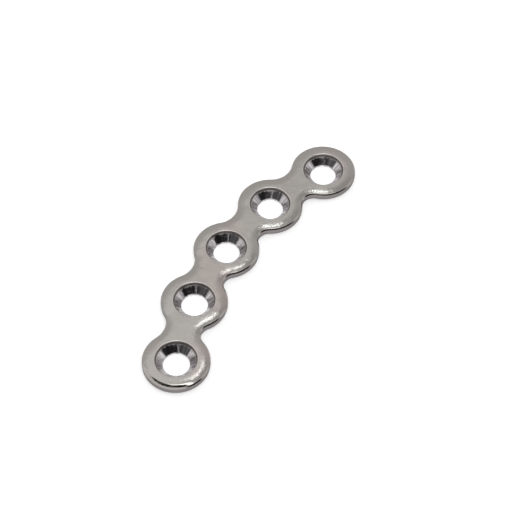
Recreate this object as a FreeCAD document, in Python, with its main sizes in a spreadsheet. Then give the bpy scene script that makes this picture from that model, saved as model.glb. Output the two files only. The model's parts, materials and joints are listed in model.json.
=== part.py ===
import FreeCAD, Part

import math
import os

import Sketcher

# Orthopedic bone plate: a flat, curved strip of surgical steel with five round lobes,
# a countersunk screw hole in each lobe and scalloped waists between them.
# Millimetres and degrees. The origin is on the middle hole's axis at the underside,
# the side that lies on the bone. +X runs along the plate, +Z is the screw-head side,
# and the strip curves towards -Y at both ends.

doc = FreeCAD.newDocument("BonePlate")
sheet = doc.addObject("Spreadsheet::Sheet", "Dimensions")
sheet.set("A1", "Dimension")
sheet.set("B1", "Value")
sheet.set("C1", "Meaning")
aliases = []


def dimension(alias, value, meaning):
    """Write one driving dimension on the sheet's next row and return its value."""
    aliases.append(alias)
    row = 1 + len(aliases)
    sheet.set(f"A{row}", alias)
    sheet.set(f"B{row}", str(value))
    sheet.setAlias(f"B{row}", alias)
    sheet.set(f"C{row}", meaning)
    return value


holes_each_side = dimension("holes_each_side", 2, "screw holes on either side of the middle one")
hole_pitch = dimension("hole_pitch", 8.6, "straight distance between neighbouring hole axes")
curve_radius = dimension("curve_radius", 38.8, "radius of the curve through the hole axes")
plate_width = dimension("plate_width", 8.0, "diameter of the lobe round each hole")
plate_thickness = dimension("plate_thickness", 1.4, "from the underside to the top face")
outer_notch_radius = dimension("outer_notch_radius", 2.7, "waist hollows on the outside of the curve")
inner_notch_radius = dimension("inner_notch_radius", 1.45, "waist hollows on the inside of the curve")
top_edge_round = dimension("top_edge_round", 0.6, "rounding from the top face over to the side")
underside_chamfer = dimension("underside_chamfer", 0.35, "edge broken between the side and the underside")
hole_diameter = dimension("hole_diameter", 3.2, "through hole for the screw's shank")
seat_diameter = dimension("seat_diameter", 4.9, "screw head's seat at its widest, inside its broken rim")
seat_lip_depth = dimension("seat_lip_depth", 0.25, "upright wall of the seat, above its cone")
seat_angle = dimension("seat_angle", 90.0, "full angle of the seat's cone")
seat_rim_chamfer = dimension("seat_rim_chamfer", 0.12, "edge broken round the seat's rim")
doc.recompute()

body = doc.addObject("PartDesign::Body", "BonePlateBody")
body.Label = "bone_plate"


def origin_plane(role):
    """The body's own origin plane with this role."""
    return next(item for item in body.Origin.OriginFeatures if item.Role == role)


def add_sketch(name, offset_expressions):
    """A sketch on the body's ground plane, moved by the expressions given for its offset."""
    sketch = body.newObject("Sketcher::SketchObject", name)
    sketch.AttachmentSupport = [(origin_plane("XY_Plane"), "")]
    sketch.MapMode = "FlatFace"
    for coordinate, expression in offset_expressions.items():
        sketch.setExpression(f"AttachmentOffset.Base.{coordinate}", expression)
    doc.recompute()
    return sketch


def size_constraint(sketch, name, kind, elements, value, expression):
    """A dimension of the sketch that follows the sheet."""
    sketch.addConstraint(Sketcher.Constraint(kind, *elements, value))
    sketch.renameConstraint(sketch.ConstraintCount - 1, name)
    sketch.setExpression(f"Constraints.{name}", expression)


# Point codes of a sketch element, and the sketch's own origin
START, END, CENTRE = 1, 2, 3
ORIGIN = (-1, 1)

UP = FreeCAD.Vector(0, 0, 1)
lobe_radius = plate_width / 2
hole_count = 2 * holes_each_side + 1
half_step = math.asin(hole_pitch / 2 / curve_radius)
curve_centre = FreeCAD.Vector(0, -curve_radius, 0)


def from_curve_centre(distance, steps):
    """The point this far from the curve's centre, whole or half hole steps from the middle hole."""
    turn = 2 * half_step * steps
    return curve_centre + FreeCAD.Vector(math.sin(turn), math.cos(turn), 0) * distance


def notch_centre(gap, side, radius):
    """Centre of the hollow that touches the lobes on both sides of a gap, on one edge."""
    reach = math.sqrt((lobe_radius + radius) ** 2 - (hole_pitch / 2) ** 2)
    chord_distance = curve_radius * math.cos(half_step)
    return from_curve_centre(chord_distance + side * reach, gap + 0.5 - holes_each_side)


def arc_between(centre, radius, first, last):
    """The arc about a centre that runs anticlockwise from one point to another."""
    start = first - centre
    end = last - centre
    circle = Part.Circle(centre, UP, radius)
    return Part.ArcOfCircle(circle, math.atan2(start.y, start.x), math.atan2(end.y, end.x))


# Outline: lobes and hollows joined tangentially, walked anticlockwise from the first gap
# on the inside of the curve, round the last lobe and back along the outside.
INSIDE, OUTSIDE = -1, 1
notch_radii = {INSIDE: inner_notch_radius, OUTSIDE: outer_notch_radius}
lobe_centres = [from_curve_centre(curve_radius, i - holes_each_side) for i in range(hole_count)]
gaps = range(hole_count - 1)
notches = []
for gap in gaps:
    notches.append((gap, gap + 1, INSIDE))
for gap in reversed(gaps):
    notches.append((gap + 1, gap, OUTSIDE))


def touch_point(notch, lobe):
    """Where the outline passes from a hollow to one of the lobes beside it."""
    side = notch[2]
    radius = notch_radii[side]
    centre = notch_centre(min(notch[:2]), side, radius)
    towards_notch = (centre - lobe_centres[lobe]).normalize()
    return lobe_centres[lobe] + towards_notch * lobe_radius


outline = add_sketch("Outline", {})
curve = outline.addGeometry(Part.Circle(curve_centre, UP, curve_radius), True)
outline.addConstraint(Sketcher.Constraint("Vertical", *ORIGIN, curve, CENTRE))
outline.addConstraint(Sketcher.Constraint("PointOnObject", *ORIGIN, curve))
size_constraint(outline, "curve_radius", "Radius", (curve,), curve_radius, "Dimensions.curve_radius")

notch_arcs = []
lobe_arcs = []
for place, notch in enumerate(notches):
    came_from, arrives_at, side = notch
    radius = notch_radii[side]
    centre = notch_centre(min(came_from, arrives_at), side, radius)
    following = notches[(place + 1) % len(notches)]
    hollow = arc_between(centre, radius, touch_point(notch, arrives_at), touch_point(notch, came_from))
    lobe = arc_between(lobe_centres[arrives_at], lobe_radius, touch_point(notch, arrives_at),
                       touch_point(following, arrives_at))
    notch_arcs.append(outline.addGeometry(hollow, False))
    lobe_arcs.append(outline.addGeometry(lobe, False))

for place in range(len(notches)):
    next_notch = notch_arcs[(place + 1) % len(notches)]
    outline.addConstraint(
        Sketcher.Constraint("Tangent", notch_arcs[place], START, lobe_arcs[place], START))
    outline.addConstraint(
        Sketcher.Constraint("Tangent", lobe_arcs[place], END, next_notch, END))

# All lobes share one radius, and so do the hollows of each side.
size_constraint(outline, "lobe_diameter", "Diameter", (lobe_arcs[0],), plate_width,
                "Dimensions.plate_width")
for arc in lobe_arcs[1:]:
    outline.addConstraint(Sketcher.Constraint("Equal", lobe_arcs[0], arc))
for side, name in ((INSIDE, "inner_notch_radius"), (OUTSIDE, "outer_notch_radius")):
    arcs = [arc for arc, notch in zip(notch_arcs, notches) if notch[2] == side]
    size_constraint(outline, name, "Radius", (arcs[0],), notch_radii[side], f"Dimensions.{name}")
    for arc in arcs[1:]:
        outline.addConstraint(Sketcher.Constraint("Equal", arcs[0], arc))

# The lobe centres sit on the curve, one pitch apart, with the middle one at the origin.
centre_arc = {}
for arc, notch in zip(lobe_arcs, notches):
    lobe = notch[1]
    if lobe in centre_arc:
        outline.addConstraint(
            Sketcher.Constraint("Coincident", arc, CENTRE, centre_arc[lobe], CENTRE))
    else:
        centre_arc[lobe] = arc
outline.addConstraint(
    Sketcher.Constraint("Coincident", centre_arc[holes_each_side], CENTRE, *ORIGIN))
for lobe in range(hole_count):
    if lobe != holes_each_side:
        outline.addConstraint(
            Sketcher.Constraint("PointOnObject", centre_arc[lobe], CENTRE, curve))
for gap in gaps:
    size_constraint(outline, f"pitch_{gap + 1}", "Distance",
                    (centre_arc[gap], CENTRE, centre_arc[gap + 1], CENTRE), hole_pitch,
                    "Dimensions.hole_pitch")
doc.recompute()

plate = body.newObject("PartDesign::Pad", "Plate")
plate.Profile = outline
plate.setExpression("Length", "Dimensions.plate_thickness")
doc.recompute()


def flat_faces(shape, height):
    """Names of the level faces of a shape at this height."""
    names = []
    for number, face in enumerate(shape.Faces, 1):
        box = face.BoundBox
        if box.ZLength < 1e-6 and abs(box.ZMin - height) < 1e-6:
            names.append(f"Face{number}")
    return names


# The side is rounded over from the top face, and its lower edge is broken.
edge_rounding = body.newObject("PartDesign::Fillet", "TopEdgeRounding")
edge_rounding.Base = (plate, flat_faces(plate.Shape, plate_thickness))
edge_rounding.setExpression("Radius", "Dimensions.top_edge_round")
doc.recompute()

underside_break = body.newObject("PartDesign::Chamfer", "UndersideChamfer")
underside_break.Base = (edge_rounding, flat_faces(edge_rounding.Shape, 0))
underside_break.setExpression("Size", "Dimensions.underside_chamfer")
doc.recompute()


def circle_sketch(name, height, alias, diameter):
    """A circle at the middle lobe, in a sketch whose own origin is on the curve's axis."""
    sketch = add_sketch(name, {"y": "-Dimensions.curve_radius", "z": height})
    circle = sketch.addGeometry(
        Part.Circle(FreeCAD.Vector(0, curve_radius, 0), UP, diameter / 2), False)
    sketch.addConstraint(Sketcher.Constraint("Vertical", *ORIGIN, circle, CENTRE))
    size_constraint(sketch, alias, "Diameter", (circle,), diameter, f"Dimensions.{alias}")
    size_constraint(sketch, "curve_radius", "DistanceY", (*ORIGIN, circle, CENTRE),
                    curve_radius, "Dimensions.curve_radius")
    doc.recompute()
    return sketch


# One screw hole is cut at the middle lobe: the seat's short upright wall first, then the
# countersunk hole from its foot. Both are repeated about the curve's centre towards the ends.
seat_sketch = circle_sketch("SeatOutline", "Dimensions.plate_thickness", "seat_diameter", seat_diameter)
seat_lip = body.newObject("PartDesign::Pocket", "SeatLip")
seat_lip.Profile = seat_sketch
seat_lip.setExpression("Length", "Dimensions.seat_lip_depth")
doc.recompute()

hole_sketch = circle_sketch("MiddleHole", "Dimensions.plate_thickness - Dimensions.seat_lip_depth",
                            "hole_diameter", hole_diameter)
screw_hole = body.newObject("PartDesign::Hole", "ScrewHole")
screw_hole.Profile = hole_sketch
screw_hole.Threaded = False
screw_hole.DepthType = "ThroughAll"
screw_hole.HoleCutType = "Countersink"
screw_hole.HoleCutCustomValues = True
screw_hole.setExpression("Diameter", "Dimensions.hole_diameter")
screw_hole.setExpression("HoleCutDiameter", "Dimensions.seat_diameter")
screw_hole.setExpression("HoleCutCountersinkAngle", "Dimensions.seat_angle")
doc.recompute()

for name, reverse in (("HolesTowardsMinusX", False), ("HolesTowardsPlusX", True)):
    pattern = body.newObject("PartDesign::PolarPattern", name)
    pattern.Originals = [seat_lip, screw_hole]
    pattern.Axis = (hole_sketch, ["N_Axis"])
    pattern.Reversed = reverse
    pattern.setExpression("Occurrences", "Dimensions.holes_each_side + 1")
    pattern.setExpression(
        "Angle",
        "2 * asin(Dimensions.hole_pitch / 2 / Dimensions.curve_radius) * Dimensions.holes_each_side")
    body.Tip = pattern
    doc.recompute()


def seat_rims(shape):
    """Names of the round edges where the seats meet the top face."""
    names = []
    for number, edge in enumerate(shape.Edges, 1):
        if not isinstance(edge.Curve, Part.Circle):
            continue
        at_top = abs(edge.Curve.Center.z - plate_thickness) < 1e-6
        if at_top and abs(edge.Curve.Radius - seat_diameter / 2) < 1e-6:
            names.append(f"Edge{number}")
    return names


rim_break = body.newObject("PartDesign::Chamfer", "RimChamfer")
rim_break.Base = (pattern, seat_rims(pattern.Shape))
rim_break.setExpression("Size", "Dimensions.seat_rim_chamfer")
body.Tip = rim_break
body.Placement = FreeCAD.Placement()
doc.recompute()

for item in doc.Objects:
    if "Invalid" in item.State or "Error" in item.State:
        raise RuntimeError(f"{item.Label} failed to build: {item.State}")
if body.Shape.isNull() or not body.Shape.isValid() or len(body.Shape.Solids) != 1:
    raise RuntimeError("the plate is not one valid solid")

os.makedirs("parts", exist_ok=True)
body.Shape.exportStep(f"parts/{body.Label}.step")
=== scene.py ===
import json
import math

import bpy
from mathutils import Matrix, Vector


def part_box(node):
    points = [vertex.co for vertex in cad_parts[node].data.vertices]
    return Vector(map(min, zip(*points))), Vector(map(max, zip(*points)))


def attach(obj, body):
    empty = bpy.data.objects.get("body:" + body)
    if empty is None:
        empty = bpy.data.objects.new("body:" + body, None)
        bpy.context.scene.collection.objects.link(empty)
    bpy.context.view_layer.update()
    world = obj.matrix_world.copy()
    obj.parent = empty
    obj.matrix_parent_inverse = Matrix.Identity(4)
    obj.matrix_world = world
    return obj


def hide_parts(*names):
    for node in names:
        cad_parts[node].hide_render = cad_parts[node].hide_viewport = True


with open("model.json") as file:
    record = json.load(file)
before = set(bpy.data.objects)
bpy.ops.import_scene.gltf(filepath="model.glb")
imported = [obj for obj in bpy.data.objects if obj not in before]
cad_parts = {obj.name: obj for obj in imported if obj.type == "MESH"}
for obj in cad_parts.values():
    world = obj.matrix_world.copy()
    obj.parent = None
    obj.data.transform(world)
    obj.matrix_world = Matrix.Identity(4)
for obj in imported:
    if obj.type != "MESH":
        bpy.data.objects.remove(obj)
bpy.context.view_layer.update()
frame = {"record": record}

# A curved bone plate of satin steel on a white table. Metres and degrees.
MM = 0.001

# Sizes read from the frame
UP = Vector((0, 0, 1))
_, plate_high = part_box("bone_plate")
thickness = plate_high.z
bores = sorted((mount for mount in frame["record"]["mounts"] if mount["kind"] == "bore"),
               key=lambda mount: mount["pos_m"][0])
hole_axes = [Vector(mount["pos_m"]) for mount in bores]
bore_radius = bores[0]["dims"]["r_mm"] * MM
bore_height = bores[0]["dims"]["length_mm"] * MM

# Sizes of the outline, the plate's edges and the seats. Slopes and steps are in degrees.
lobe_radius = 4.0 * MM
outer_notch_radius = 2.7 * MM
inner_notch_radius = 1.45 * MM
crown_radius = 4.0 * MM
crown_slope = 15.0
corner_radius = 0.1 * MM
facet_width = 0.16 * MM
facet_slope = 46.0
wall_slope = 90.0
under_round = 0.6 * MM
seat_radius = 2.45 * MM
seat_lip_depth = 0.25 * MM
rim_round = 0.14 * MM
exit_round = 0.06 * MM
flat_margin = 0.05 * MM
arc_step = 4.0
round_step = 7.5
fewest_round_steps = 4
hole_steps = 96
smooth_angle = 30.0
weld_distance = 0.001 * MM


def edit_new_point(name, place):
    """A new mesh object in edit mode that holds one selected vertex."""
    bpy.ops.object.select_all(action="DESELECT")
    bpy.ops.mesh.primitive_plane_add(size=MM, location=(0, 0, 0))
    piece = bpy.context.object
    piece.name = name
    bpy.ops.object.mode_set(mode="EDIT")
    bpy.ops.mesh.select_mode(type="VERT")
    bpy.ops.mesh.merge(type="CENTER")
    bpy.ops.transform.translate(value=place)
    return piece


def draw_section(start, outward, heading, moves):
    """Draws an upright section from the selected vertex with extrude and spin.

    Each move is a straight run (length, 0) or an arc (radius, turn in degrees).
    An arc of no radius is a corner. A positive turn bends the heading from outward towards up."""
    place = Vector(start)
    across = outward.cross(UP)
    heading = math.radians(heading)
    for size, turn in moves:
        along = outward * math.cos(heading) + UP * math.sin(heading)
        if turn == 0:
            bpy.ops.mesh.extrude_region_move(TRANSFORM_OT_translate={"value": along * size})
            place += along * size
            continue
        side = math.copysign(1, turn)
        left = UP * math.cos(heading) - outward * math.sin(heading)
        centre = place + left * size * side
        angle = math.radians(turn)
        if size:
            steps = max(fewest_round_steps, round(abs(turn) / round_step))
            spin_selected(centre, across, angle, steps)
            place = centre + Matrix.Rotation(angle, 3, across) @ (place - centre)
        heading += angle


def spin_selected(centre, axis, angle, steps):
    """Sweeps the selection anticlockwise about an axis; the spin tool itself counts clockwise."""
    bpy.ops.mesh.spin(steps=steps, angle=-angle, center=centre, axis=axis, use_auto_merge=False)


def notch_centre(origin, target, side):
    """Centre and radius of the hollow between two lobes, on the outer (+1) or inner (-1) side."""
    first, second = (hole_axes[number] for number in sorted((origin, target)))
    chord = second - first
    across = UP.cross(chord).normalized()
    radius = outer_notch_radius if side > 0 else inner_notch_radius
    reach = math.sqrt((lobe_radius + radius) ** 2 - (chord.length / 2) ** 2)
    return (first + second) / 2 + across * reach * side, radius


def outline_arcs():
    """The outline's arcs in order, anticlockwise from a lobe: (centre, sweep in radians, start point)."""
    last = len(hole_axes) - 1
    notches = [(i, i + 1, -1) for i in range(last)]
    notches += [(i + 1, i, 1) for i in reversed(range(last))]
    arcs = []
    for number, (origin, target, side) in enumerate(notches):
        centre, radius = notch_centre(origin, target, side)
        leave = (hole_axes[origin] - centre).normalized() * radius
        arrive = (hole_axes[target] - centre).normalized() * radius
        arcs.append((centre, -swept(arrive, leave), centre + leave))
        following, _ = notch_centre(*notches[(number + 1) % len(notches)])
        lobe = hole_axes[target]
        arrive = centre + arrive - lobe
        leave = (following - lobe).normalized() * lobe_radius
        arcs.append((lobe, swept(arrive, leave), lobe + arrive))
    return arcs[1:] + arcs[:1]


def swept(first, second):
    """Anticlockwise angle from one horizontal direction to another, 0 to a full turn."""
    return (math.atan2(second.y, second.x) - math.atan2(first.y, first.x)) % math.tau


def side_section():
    """How wide the rounded side is from above, and the moves that draw it, from the top face down."""
    crown, facet, wall = (math.radians(slope) for slope in (crown_slope, facet_slope, wall_slope))
    edge_width = crown_radius * math.sin(crown) + facet_width * math.cos(facet)
    edge_width += corner_radius * (math.sin(wall) - math.sin(crown))
    edge_drop = crown_radius * (1 - math.cos(crown)) + facet_width * math.sin(facet)
    edge_drop += corner_radius * (math.cos(crown) - math.cos(wall))
    foot_drop = under_round * (1 + math.cos(wall))
    wall_run = (thickness - edge_drop - foot_drop) / math.sin(wall)
    width = edge_width + wall_run * math.cos(wall) + under_round * (1 - math.sin(wall))
    return width, [
        (flat_margin, 0),
        (crown_radius, -crown_slope),
        (corner_radius, crown_slope - facet_slope),
        (facet_width, 0),
        (corner_radius, facet_slope - wall_slope),
        (wall_run, 0),
        (under_round, wall_slope - 180),
        (flat_margin, 0),
    ]


def model_side(name):
    """The plate's rounded side: its section drawn once, then spun round every arc of the outline."""
    arcs = outline_arcs()
    centre, _, start = arcs[0]
    outward = (start - centre).normalized()
    width, moves = side_section()
    top_start = start - outward * (width + flat_margin) + UP * thickness
    piece = edit_new_point(name, top_start)
    draw_section(top_start, outward, 0, moves)
    bpy.ops.mesh.select_all(action="SELECT")
    for centre, sweep, start in arcs:
        steps = math.ceil(abs(math.degrees(sweep)) / arc_step)
        spin_selected(centre, UP, sweep, steps)
    bpy.ops.mesh.select_all(action="SELECT")
    bpy.ops.mesh.remove_doubles(threshold=weld_distance)
    bpy.ops.object.mode_set(mode="OBJECT")
    return piece


def model_hole(name, axis_foot):
    """A screw hole's wall: its section, from the rim down to the underside, spun round its axis."""
    outward = Vector((1, 0, 0))
    cone_depth = thickness - seat_lip_depth - bore_height
    cone_width = seat_radius - bore_radius
    cone_turn = math.degrees(math.atan2(cone_width, cone_depth))
    start = axis_foot + outward * (seat_radius + rim_round + flat_margin) + UP * thickness
    piece = edit_new_point(name, start)
    draw_section(start, outward, 180, [
        (flat_margin, 0),
        (rim_round, 90),
        (seat_lip_depth - rim_round, 0),
        (0, -cone_turn),
        (math.hypot(cone_width, cone_depth), 0),
        (0, cone_turn),
        (bore_height - exit_round, 0),
        (exit_round, 90),
        (flat_margin, 0),
    ])
    bpy.ops.mesh.select_all(action="SELECT")
    spin_selected(axis_foot, UP, math.tau, hole_steps)
    bpy.ops.mesh.select_all(action="SELECT")
    bpy.ops.mesh.remove_doubles(threshold=weld_distance)
    bpy.ops.object.mode_set(mode="OBJECT")
    return piece


def select_open_edges(piece, height):
    """Selects the open edges that lie at one height."""
    bpy.ops.mesh.select_mode(type="EDGE")
    bpy.ops.mesh.select_all(action="DESELECT")
    bpy.ops.object.mode_set(mode="OBJECT")
    mesh = piece.data
    uses = {}
    for face in mesh.polygons:
        for key in face.edge_keys:
            uses[key] = uses.get(key, 0) + 1
    for edge in mesh.edges:
        level = all(abs(mesh.vertices[v].co.z - height) < weld_distance for v in edge.vertices)
        edge.select = level and uses.get(tuple(sorted(edge.vertices)), 0) == 1
    bpy.ops.object.mode_set(mode="EDIT")


def model_plate():
    """Side, holes and the two flat faces between them, joined into one closed piece."""
    parts = [model_side("plate_side")]
    for number, axis_foot in enumerate(hole_axes, 1):
        parts.append(model_hole(f"hole_{number}", axis_foot))
    bpy.ops.object.select_all(action="DESELECT")
    for part in parts:
        part.select_set(True)
    bpy.context.view_layer.objects.active = parts[0]
    bpy.ops.object.join()
    plate = bpy.context.object
    plate.name = "satin_plate"
    bpy.ops.object.mode_set(mode="EDIT")
    for height in (thickness, 0):
        select_open_edges(plate, height)
        bpy.ops.mesh.fill(use_beauty=True)
    bpy.ops.mesh.select_all(action="SELECT")
    bpy.ops.mesh.normals_make_consistent(inside=False)
    bpy.ops.object.mode_set(mode="OBJECT")
    bpy.ops.object.shade_smooth_by_angle(angle=math.radians(smooth_angle))
    return plate


# Materials

def new_material(name):
    """An empty material and its node tree."""
    material = bpy.data.materials.new(name)
    material.use_nodes = True
    tree = material.node_tree
    tree.nodes.clear()
    return material, tree


def combine(tree, operation, *values):
    """A math node on sockets or numbers."""
    node = tree.nodes.new("ShaderNodeMath")
    node.operation = operation
    fill_inputs(tree, node, values)
    return node.outputs["Value"]


def combine_vectors(tree, operation, *values):
    """A vector math node on sockets or triples. A distance, a length and a dot product are numbers."""
    node = tree.nodes.new("ShaderNodeVectorMath")
    node.operation = operation
    fill_inputs(tree, node, values)
    return node.outputs["Value" if operation in ("DISTANCE", "DOT_PRODUCT", "LENGTH") else "Vector"]


def fill_inputs(tree, node, values):
    """Links or sets a node's first inputs, one for each value."""
    for socket, value in zip(node.inputs, values):
        if isinstance(value, bpy.types.NodeSocket):
            tree.links.new(value, socket)
        else:
            socket.default_value = value


def remap(tree, value, source, target=(0, 1), smooth=False):
    """Maps a range of values onto another range, held at its ends."""
    node = tree.nodes.new("ShaderNodeMapRange")
    node.interpolation_type = "SMOOTHSTEP" if smooth else "LINEAR"
    fill_inputs(tree, node, (value, *source, *target))
    return node.outputs["Result"]


def noise(tree, place, size, detail):
    """Noise whose features are about this size."""
    node = tree.nodes.new("ShaderNodeTexNoise")
    tree.links.new(place, node.inputs["Vector"])
    node.inputs["Scale"].default_value = 1 / size
    node.inputs["Detail"].default_value = detail
    return node.outputs["Fac"]


def blend_colours(tree, factor, first, second):
    """The first colour where the factor is 0, the second where it is 1."""
    node = tree.nodes.new("ShaderNodeMix")
    node.data_type = "RGBA"
    tree.links.new(factor, node.inputs["Factor"])
    for name, value in (("A", first), ("B", second)):
        socket = next(item for item in node.inputs if item.name == name and item.type == "RGBA")
        if isinstance(value, bpy.types.NodeSocket):
            tree.links.new(value, socket)
        else:
            socket.default_value = (*value, 1)
    return next(item for item in node.outputs if item.type == "RGBA")


def near_direction(tree, direction, centre, full, none):
    """1 within full degrees of a direction, falling smoothly to 0 at none degrees."""
    near = combine_vectors(tree, "DOT_PRODUCT", direction, tuple(centre))
    return remap(tree, near, (math.cos(math.radians(none)), math.cos(math.radians(full))), smooth=True)


def add_bump(tree, height, depth, before=None):
    """Relief this deep where the height goes from 0 to 1, on top of the relief before."""
    node = tree.nodes.new("ShaderNodeBump")
    node.inputs["Strength"].default_value = 1.0
    node.inputs["Distance"].default_value = depth
    tree.links.new(height, node.inputs["Height"])
    if before is not None:
        tree.links.new(before, node.inputs["Normal"])
    return node.outputs["Normal"]


# Steel: its colours, how dull it is, and the sizes of its finish. A streak's size is on a circle
# of radius 1, and the worn edge lies at the first lobe's tip, within angles of one direction.
steel_warm = (0.470, 0.420, 0.395)
steel_cool = (0.450, 0.434, 0.404)
steel_seat = (0.70, 0.67, 0.685)
steel_seat_dark = (0.36, 0.34, 0.35)
steel_lip = (0.60, 0.56, 0.53)
# Painted shade: the colour of a dark band under each seat's rim
painted_rim_shade = (0.20, 0.18, 0.18)
# Painted shade: the cut walls' colour, darker than the faces'
cut_wall_painted_shade = (0.262, 0.240, 0.240)
steel_grazing = (0.5, 0.5, 0.5)
polish_roughness = 0.17
cut_roughness = 0.24
seat_roughness = 0.12
lip_roughness = 0.36
roughness_spread = 0.05
cut_upright = (0.95, 0.3)
underside_upright = -0.5
tint_size = 5 * MM
tint_detail = 2.0
tint_range = (0.35, 0.65)
grain_size = 0.16 * MM
grain_detail = 4.0
grain_range = (0.3, 0.7)
grain_depth = 0.010 * MM
wave_size = 2.4 * MM
wave_depth = 0.07 * MM
ripple_size = 0.7 * MM
ripple_depth = 0.016 * MM
wave_detail = 1.0
streak_size = 0.16
streak_detail = 3.0
streak_range = (0.38, 0.62)
streak_shift = 5.0
lip_foot = 0.96 * MM
lip_unevenness = 0.5 * MM
lip_fade = 0.06 * MM
# Inner and outer edges of the painted shade band under a seat's rim
rim_shade_inner_edge = (seat_radius - 0.15 * MM, seat_radius - 0.05 * MM)
rim_shade_outer_edge = (seat_radius + 0.075 * MM, seat_radius)
worn_way = Vector((-0.990, -0.139, 0))
worn_full_angle = 22
worn_none_angle = 60
worn_start = 3.40 * MM
worn_end = 4.10 * MM
worn_depth = 0.44 * MM
mark_pitch = 0.12 * MM
mark_depth = 0.001 * MM


def satin_steel():
    """Tumble-polished steel: soft grain, gently uneven faces, turned seats with painted shade under their
    rims, and duller cut walls whose colour is darkened as painted shade.
    """
    material, tree = new_material("satin_steel")
    out = tree.nodes.new("ShaderNodeOutputMaterial")
    shader = tree.nodes.new("ShaderNodeBsdfPrincipled")
    tree.links.new(shader.outputs["BSDF"], out.inputs["Surface"])
    shader.inputs["Metallic"].default_value = 1.0
    shader.inputs["Specular Tint"].default_value = (*steel_grazing, 1)
    coordinates = tree.nodes.new("ShaderNodeTexCoord")
    place = coordinates.outputs["Object"]
    upright = combine_vectors(tree, "DOT_PRODUCT", coordinates.outputs["Normal"], tuple(UP))
    nearest, in_seat, way_out = hole_places(tree, place)
    in_seat = combine(tree, "MULTIPLY", in_seat, combine(tree, "GREATER_THAN", upright, underside_upright))
    # The cut walls: duller, and darker in colour as painted shade
    dull_shaded_walls = remap(tree, combine(tree, "ABSOLUTE", upright), cut_upright, smooth=True)
    dull_shaded_walls = combine(tree, "MULTIPLY", dull_shaded_walls, combine(tree, "SUBTRACT", 1.0, in_seat))
    grain = noise(tree, place, grain_size, grain_detail)
    streaks = noise(tree, way_out, streak_size, streak_detail)
    lip = combine(tree, "MULTIPLY", above_cone(tree, place, streaks), in_seat)
    # Painted shade: a narrow dark band under each seat's rim
    rim_shade = combine(tree, "MULTIPLY", painted_rim_shade_mask(tree, nearest), in_seat)

    colour = blend_colours(tree, in_seat, polished_tone(tree, place), turned_tone(tree, streaks, lip, rim_shade))
    # Painted shade: the cut walls are darkened in colour as well as being duller
    colour = blend_colours(tree, dull_shaded_walls, colour, cut_wall_painted_shade)
    tree.links.new(colour, shader.inputs["Base Color"])
    tree.links.new(steel_dullness(tree, dull_shaded_walls, in_seat, lip, grain), shader.inputs["Roughness"])
    tree.links.new(steel_relief(tree, place, grain, nearest, in_seat), shader.inputs["Normal"])
    return material


def hole_places(tree, place):
    """Level distance to the nearest hole's axis, 1 inside a hole, and the way out from its axis.

    The way out is a level unit vector, shifted from hole to hole so that no two look alike."""
    level = combine_vectors(tree, "MULTIPLY", place, (1, 1, 0))
    nearest, inside, way_out = 1.0, 0.0, (0, 0, 0)
    for number, axis in enumerate(hole_axes):
        out = combine_vectors(tree, "SUBTRACT", level, tuple(axis))
        distance = combine_vectors(tree, "LENGTH", out)
        own = combine(tree, "LESS_THAN", distance, seat_radius + rim_round)
        shift = (0, 0, streak_shift * number)
        shifted = combine_vectors(tree, "ADD", combine_vectors(tree, "NORMALIZE", out), shift)
        nearest = combine(tree, "MINIMUM", distance, nearest)
        inside = combine(tree, "ADD", own, inside)
        way_out = combine_vectors(tree, "MULTIPLY_ADD", shifted, own, way_out)
    return nearest, inside, way_out


def above_cone(tree, place, streaks):
    """1 on the dull wall above a seat's cone, 0 on the cone. The cone's upper end is uneven."""
    end = combine(tree, "MULTIPLY_ADD", streaks, -lip_unevenness, lip_foot + lip_unevenness / 2)
    height = combine_vectors(tree, "DOT_PRODUCT", place, tuple(UP))
    return remap(tree, combine(tree, "SUBTRACT", height, end), (-lip_fade, lip_fade), smooth=True)


def painted_rim_shade_mask(tree, nearest):
    """1 in a narrow band at a seat's radius, with soft edges, where shade is painted under the rim."""
    inner = remap(tree, nearest, rim_shade_inner_edge, smooth=True)
    outer = remap(tree, nearest, rim_shade_outer_edge, smooth=True)
    return combine(tree, "MULTIPLY", inner, outer)


def polished_tone(tree, place):
    """The faces' colour, which drifts between a warm and a cool grey."""
    cloud = noise(tree, place, tint_size, tint_detail)
    return blend_colours(tree, remap(tree, cloud, tint_range), steel_warm, steel_cool)


def turned_tone(tree, streaks, lip, rim_shade):
    """A seat's colour: streaks down the cone, a plainer wall above it and a dark band of painted shade
    under the rim.
    """
    tone = blend_colours(tree, remap(tree, streaks, streak_range), steel_seat_dark, steel_seat)
    tone = blend_colours(tree, lip, tone, steel_lip)
    return blend_colours(tree, rim_shade, tone, painted_rim_shade)


def steel_dullness(tree, dull_shaded_walls, in_seat, lip, grain):
    """Roughness of the faces, the cut walls, the seats and their upper walls, uneven with the grain."""
    dull = combine(tree, "MULTIPLY_ADD", dull_shaded_walls, cut_roughness - polish_roughness, polish_roughness)
    dull = combine(tree, "MULTIPLY_ADD", in_seat, seat_roughness - polish_roughness, dull)
    dull = combine(tree, "MULTIPLY_ADD", lip, lip_roughness - seat_roughness, dull)
    uneven = remap(tree, grain, grain_range, (-roughness_spread, roughness_spread))
    return combine(tree, "ADD", dull, uneven)


def steel_relief(tree, place, grain, nearest, in_seat):
    """Waves, ripples, the worn edge, the grain and the seats' turning marks, one on top of another."""
    relief = add_bump(tree, noise(tree, place, wave_size, wave_detail), wave_depth)
    relief = add_bump(tree, noise(tree, place, ripple_size, wave_detail), ripple_depth, relief)
    relief = add_bump(tree, worn_edge(tree, place), worn_depth, relief)
    relief = add_bump(tree, grain, grain_depth, relief)
    marks = combine(tree, "SINE", combine(tree, "MULTIPLY", nearest, math.tau / mark_pitch))
    marks = combine(tree, "MULTIPLY", combine(tree, "MULTIPLY_ADD", marks, 0.5, 0.5), in_seat)
    return add_bump(tree, marks, mark_depth, relief)


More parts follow.
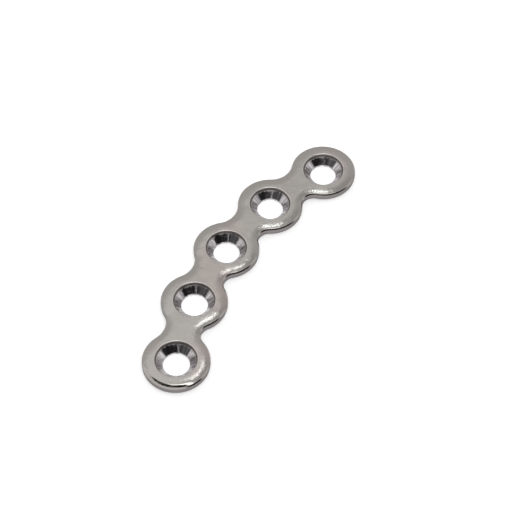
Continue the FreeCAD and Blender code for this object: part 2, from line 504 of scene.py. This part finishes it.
def worn_edge(tree, place):
    """1 on the plate, falling to 0 down a broader break of the edge round the first lobe's tip."""
    level = combine_vectors(tree, "MULTIPLY", place, (1, 1, 0))
    out = combine_vectors(tree, "SUBTRACT", level, tuple(hole_axes[0]))
    way = combine_vectors(tree, "NORMALIZE", out)
    at_tip = near_direction(tree, way, worn_way, worn_full_angle, worn_none_angle)
    fall = remap(tree, combine_vectors(tree, "LENGTH", out), (worn_start, worn_end), smooth=True)
    return combine(tree, "SUBTRACT", 1.0, combine(tree, "MULTIPLY", at_tip, fall))


# Table: its colour, and how far it is lifted towards white where it is seen
table_colour = (0.72, 0.72, 0.72)
table_lift = 0.5


def table_white():
    """A matt white table. To the camera and in reflections it is lifted to white and keeps its shadow."""
    material, tree = new_material("table_white")
    out = tree.nodes.new("ShaderNodeOutputMaterial")
    matt = tree.nodes.new("ShaderNodeBsdfDiffuse")
    matt.inputs["Color"].default_value = (*table_colour, 1)
    glow = tree.nodes.new("ShaderNodeEmission")
    rays = tree.nodes.new("ShaderNodeLightPath").outputs
    seen = combine(tree, "ADD", rays["Is Camera Ray"], rays["Is Glossy Ray"])
    seen = combine(tree, "MAXIMUM", seen, rays["Is Transmission Ray"])
    tree.links.new(combine(tree, "MULTIPLY", seen, table_lift), glow.inputs["Strength"])
    both = tree.nodes.new("ShaderNodeAddShader")
    tree.links.new(matt.outputs["BSDF"], both.inputs[0])
    tree.links.new(glow.outputs["Emission"], both.inputs[1])
    tree.links.new(both.outputs["Shader"], out.inputs["Surface"])
    return material


plate = model_plate()
plate.data.materials.clear()
plate.data.materials.append(satin_steel())
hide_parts("bone_plate")
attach(plate, "root")

# Table, a hair above the plate's underside so that the two faces don't coincide
table_top = 0.01 * MM
table_radius = 2.0
table_sides = 64
bpy.ops.object.select_all(action="DESELECT")
bpy.ops.mesh.primitive_circle_add(
    vertices=table_sides, radius=table_radius, fill_type="NGON", location=(0, 0, table_top))
table = bpy.context.object
table.name = "table"
table.data.materials.append(table_white())

# Camera: direction and distance of the view, and where the middle hole's foot lies in the picture.
# The sensor's width is in millimetres, as Blender has it.
picture_size = 512
view_azimuth = 57.99
view_elevation = 53.62
view_distance = 204.9 * MM
focal_pixels = 1682
middle_hole_pixel = (226.5, 253.8)
sensor_width = 36
clip_start = 0.01
clip_end = 20

azimuth = math.radians(view_azimuth)
elevation = math.radians(view_elevation)
right = Vector((math.cos(azimuth), -math.sin(azimuth), 0))
towards = Vector((math.sin(azimuth), math.cos(azimuth), 0))
forward = towards * math.cos(elevation) - UP * math.sin(elevation)
upward = right.cross(forward)
offset_right = (middle_hole_pixel[0] - picture_size / 2) / focal_pixels * view_distance
offset_up = (picture_size / 2 - middle_hole_pixel[1]) / focal_pixels * view_distance
camera_data = bpy.data.cameras.new("camera")
camera_data.sensor_width = sensor_width
camera_data.lens = focal_pixels / picture_size * sensor_width
camera_data.clip_start = clip_start
camera_data.clip_end = clip_end
camera = bpy.data.objects.new("camera", camera_data)
bpy.context.scene.collection.objects.link(camera)
camera_place = -(right * offset_right + upward * offset_up + forward * view_distance)
camera_turn = Matrix((right, upward, -forward)).transposed()
camera.matrix_world = Matrix.Translation(camera_place) @ camera_turn.to_4x4()
bpy.context.scene.camera = camera

# Light: an even white studio. Soft cards and a shade dim parts of it, most of all the low side behind
# the camera, and two round lamps and a narrow slit of light add to it. All are in degrees: turns count
# clockwise from the camera's own side as seen from above, heights from the horizon.
base_light = 1.0
round_lamps = [
    # turn, height, full, none, strength
    (-10, 68, 12, 24, 2.2),
    (52, 34, 6, 28, 0.12),
]
cards = [
    # turn, half width, low, high, edge, light left
    (0, 180, -30, 18, 10, 0.85),
    (180, 75, -30, 51, 6, 0.66),
    (0, 76, -20, 44, 4, 0.02),
    (33, 34, 36, 58, 6, 0.15),
    (-45, 50, 40, 60, 8, 0.6),
]
# turn, height, full, none, light left
round_shade = (-142, 65, 9, 20, 0.5)
# turn, half width, low, high, edge, strength
slit = (11, 3, 16, 40, 2.5, 0.8)


def level_way(turn):
    """The level direction at this turn."""
    angle = math.radians(turn)
    return -towards * math.cos(angle) - right * math.sin(angle)


def round_patch(tree, direction, turn, height, full, none):
    """1 within full degrees of the place at this turn and height, and 0 from none degrees on."""
    angle = math.radians(height)
    centre = level_way(turn) * math.cos(angle) + UP * math.sin(angle)
    return near_direction(tree, direction, centre, full, none)


def sector_patch(tree, direction, turn, half_width, low, high, edge):
    """1 between two heights and within half a width of a turn, with soft edges."""
    level = combine_vectors(tree, "NORMALIZE", combine_vectors(tree, "MULTIPLY", direction, (1, 1, 0)))
    away = combine_vectors(tree, "DOT_PRODUCT", level, tuple(level_way(turn)))
    away = combine(tree, "ARCCOSINE", away)
    rise = combine(tree, "ARCSINE", combine_vectors(tree, "DOT_PRODUCT", direction, tuple(UP)))

    def falling(value, limit):
        """1 below a limit in degrees and 0 above it."""
        ends = (math.radians(limit + edge), math.radians(limit - edge))
        return remap(tree, value, ends, smooth=True)

    band = combine(tree, "SUBTRACT", falling(rise, high), falling(rise, low))
    return combine(tree, "MULTIPLY", falling(away, half_width), band)


def studio_world():
    """The even light, times what each card and the shade leave of it, plus the lamps and the slit."""
    world = bpy.data.worlds.new("studio")
    bpy.context.scene.world = world
    world.use_nodes = True
    tree = world.node_tree
    direction = tree.nodes.new("ShaderNodeTexCoord").outputs["Generated"]
    dimming = [(sector_patch, card) for card in cards] + [(round_patch, round_shade)]
    adding = [(round_patch, lamp) for lamp in round_lamps] + [(sector_patch, slit)]
    light = base_light
    for draw, (*shape, left) in dimming:
        cover = combine(tree, "MULTIPLY", draw(tree, direction, *shape), 1 - left)
        light = combine(tree, "MULTIPLY", light, combine(tree, "SUBTRACT", 1.0, cover))
    for draw, (*shape, strength) in adding:
        glow = combine(tree, "MULTIPLY", draw(tree, direction, *shape), strength)
        light = combine(tree, "ADD", light, glow)
    background = tree.nodes["Background"]
    background.inputs["Color"].default_value = (1, 1, 1, 1)
    tree.links.new(light, background.inputs["Strength"])


studio_world()


# Near lamp: a small disc high over the plate, a little behind it and to the right
lamp_place = (right * 14 + towards * 48 + UP * 138) * MM
lamp_radius = 18 * MM
lamp_sides = 48
lamp_strength = 6.2
lamp_rim_strength = 0.5
lamp_colour = (0.94, 0.98, 1.0)


def lamp_glow():
    """The near lamp's face, bright in the middle and fading to a plain grey at its rim."""
    material, tree = new_material("lamp_glow")
    out = tree.nodes.new("ShaderNodeOutputMaterial")
    glow = tree.nodes.new("ShaderNodeEmission")
    place = tree.nodes.new("ShaderNodeTexCoord").outputs["Object"]
    from_middle = combine_vectors(tree, "DISTANCE", place, tuple(lamp_place))
    strength = remap(tree, from_middle, (lamp_radius, 0), (lamp_rim_strength, lamp_strength), smooth=True)
    tree.links.new(strength, glow.inputs["Strength"])
    glow.inputs["Color"].default_value = (*lamp_colour, 1)
    tree.links.new(glow.outputs["Emission"], out.inputs["Surface"])
    return material


bpy.ops.object.select_all(action="DESELECT")
bpy.ops.mesh.primitive_circle_add(
    vertices=lamp_sides, radius=lamp_radius, fill_type="NGON", location=(0, 0, 0))
lamp = bpy.context.object
lamp.name = "near_lamp"
bpy.ops.object.mode_set(mode="EDIT")
bpy.ops.transform.translate(value=lamp_place)
bpy.ops.object.mode_set(mode="OBJECT")
lamp.data.materials.append(lamp_glow())

bpy.context.scene.view_settings.view_transform = "Standard"
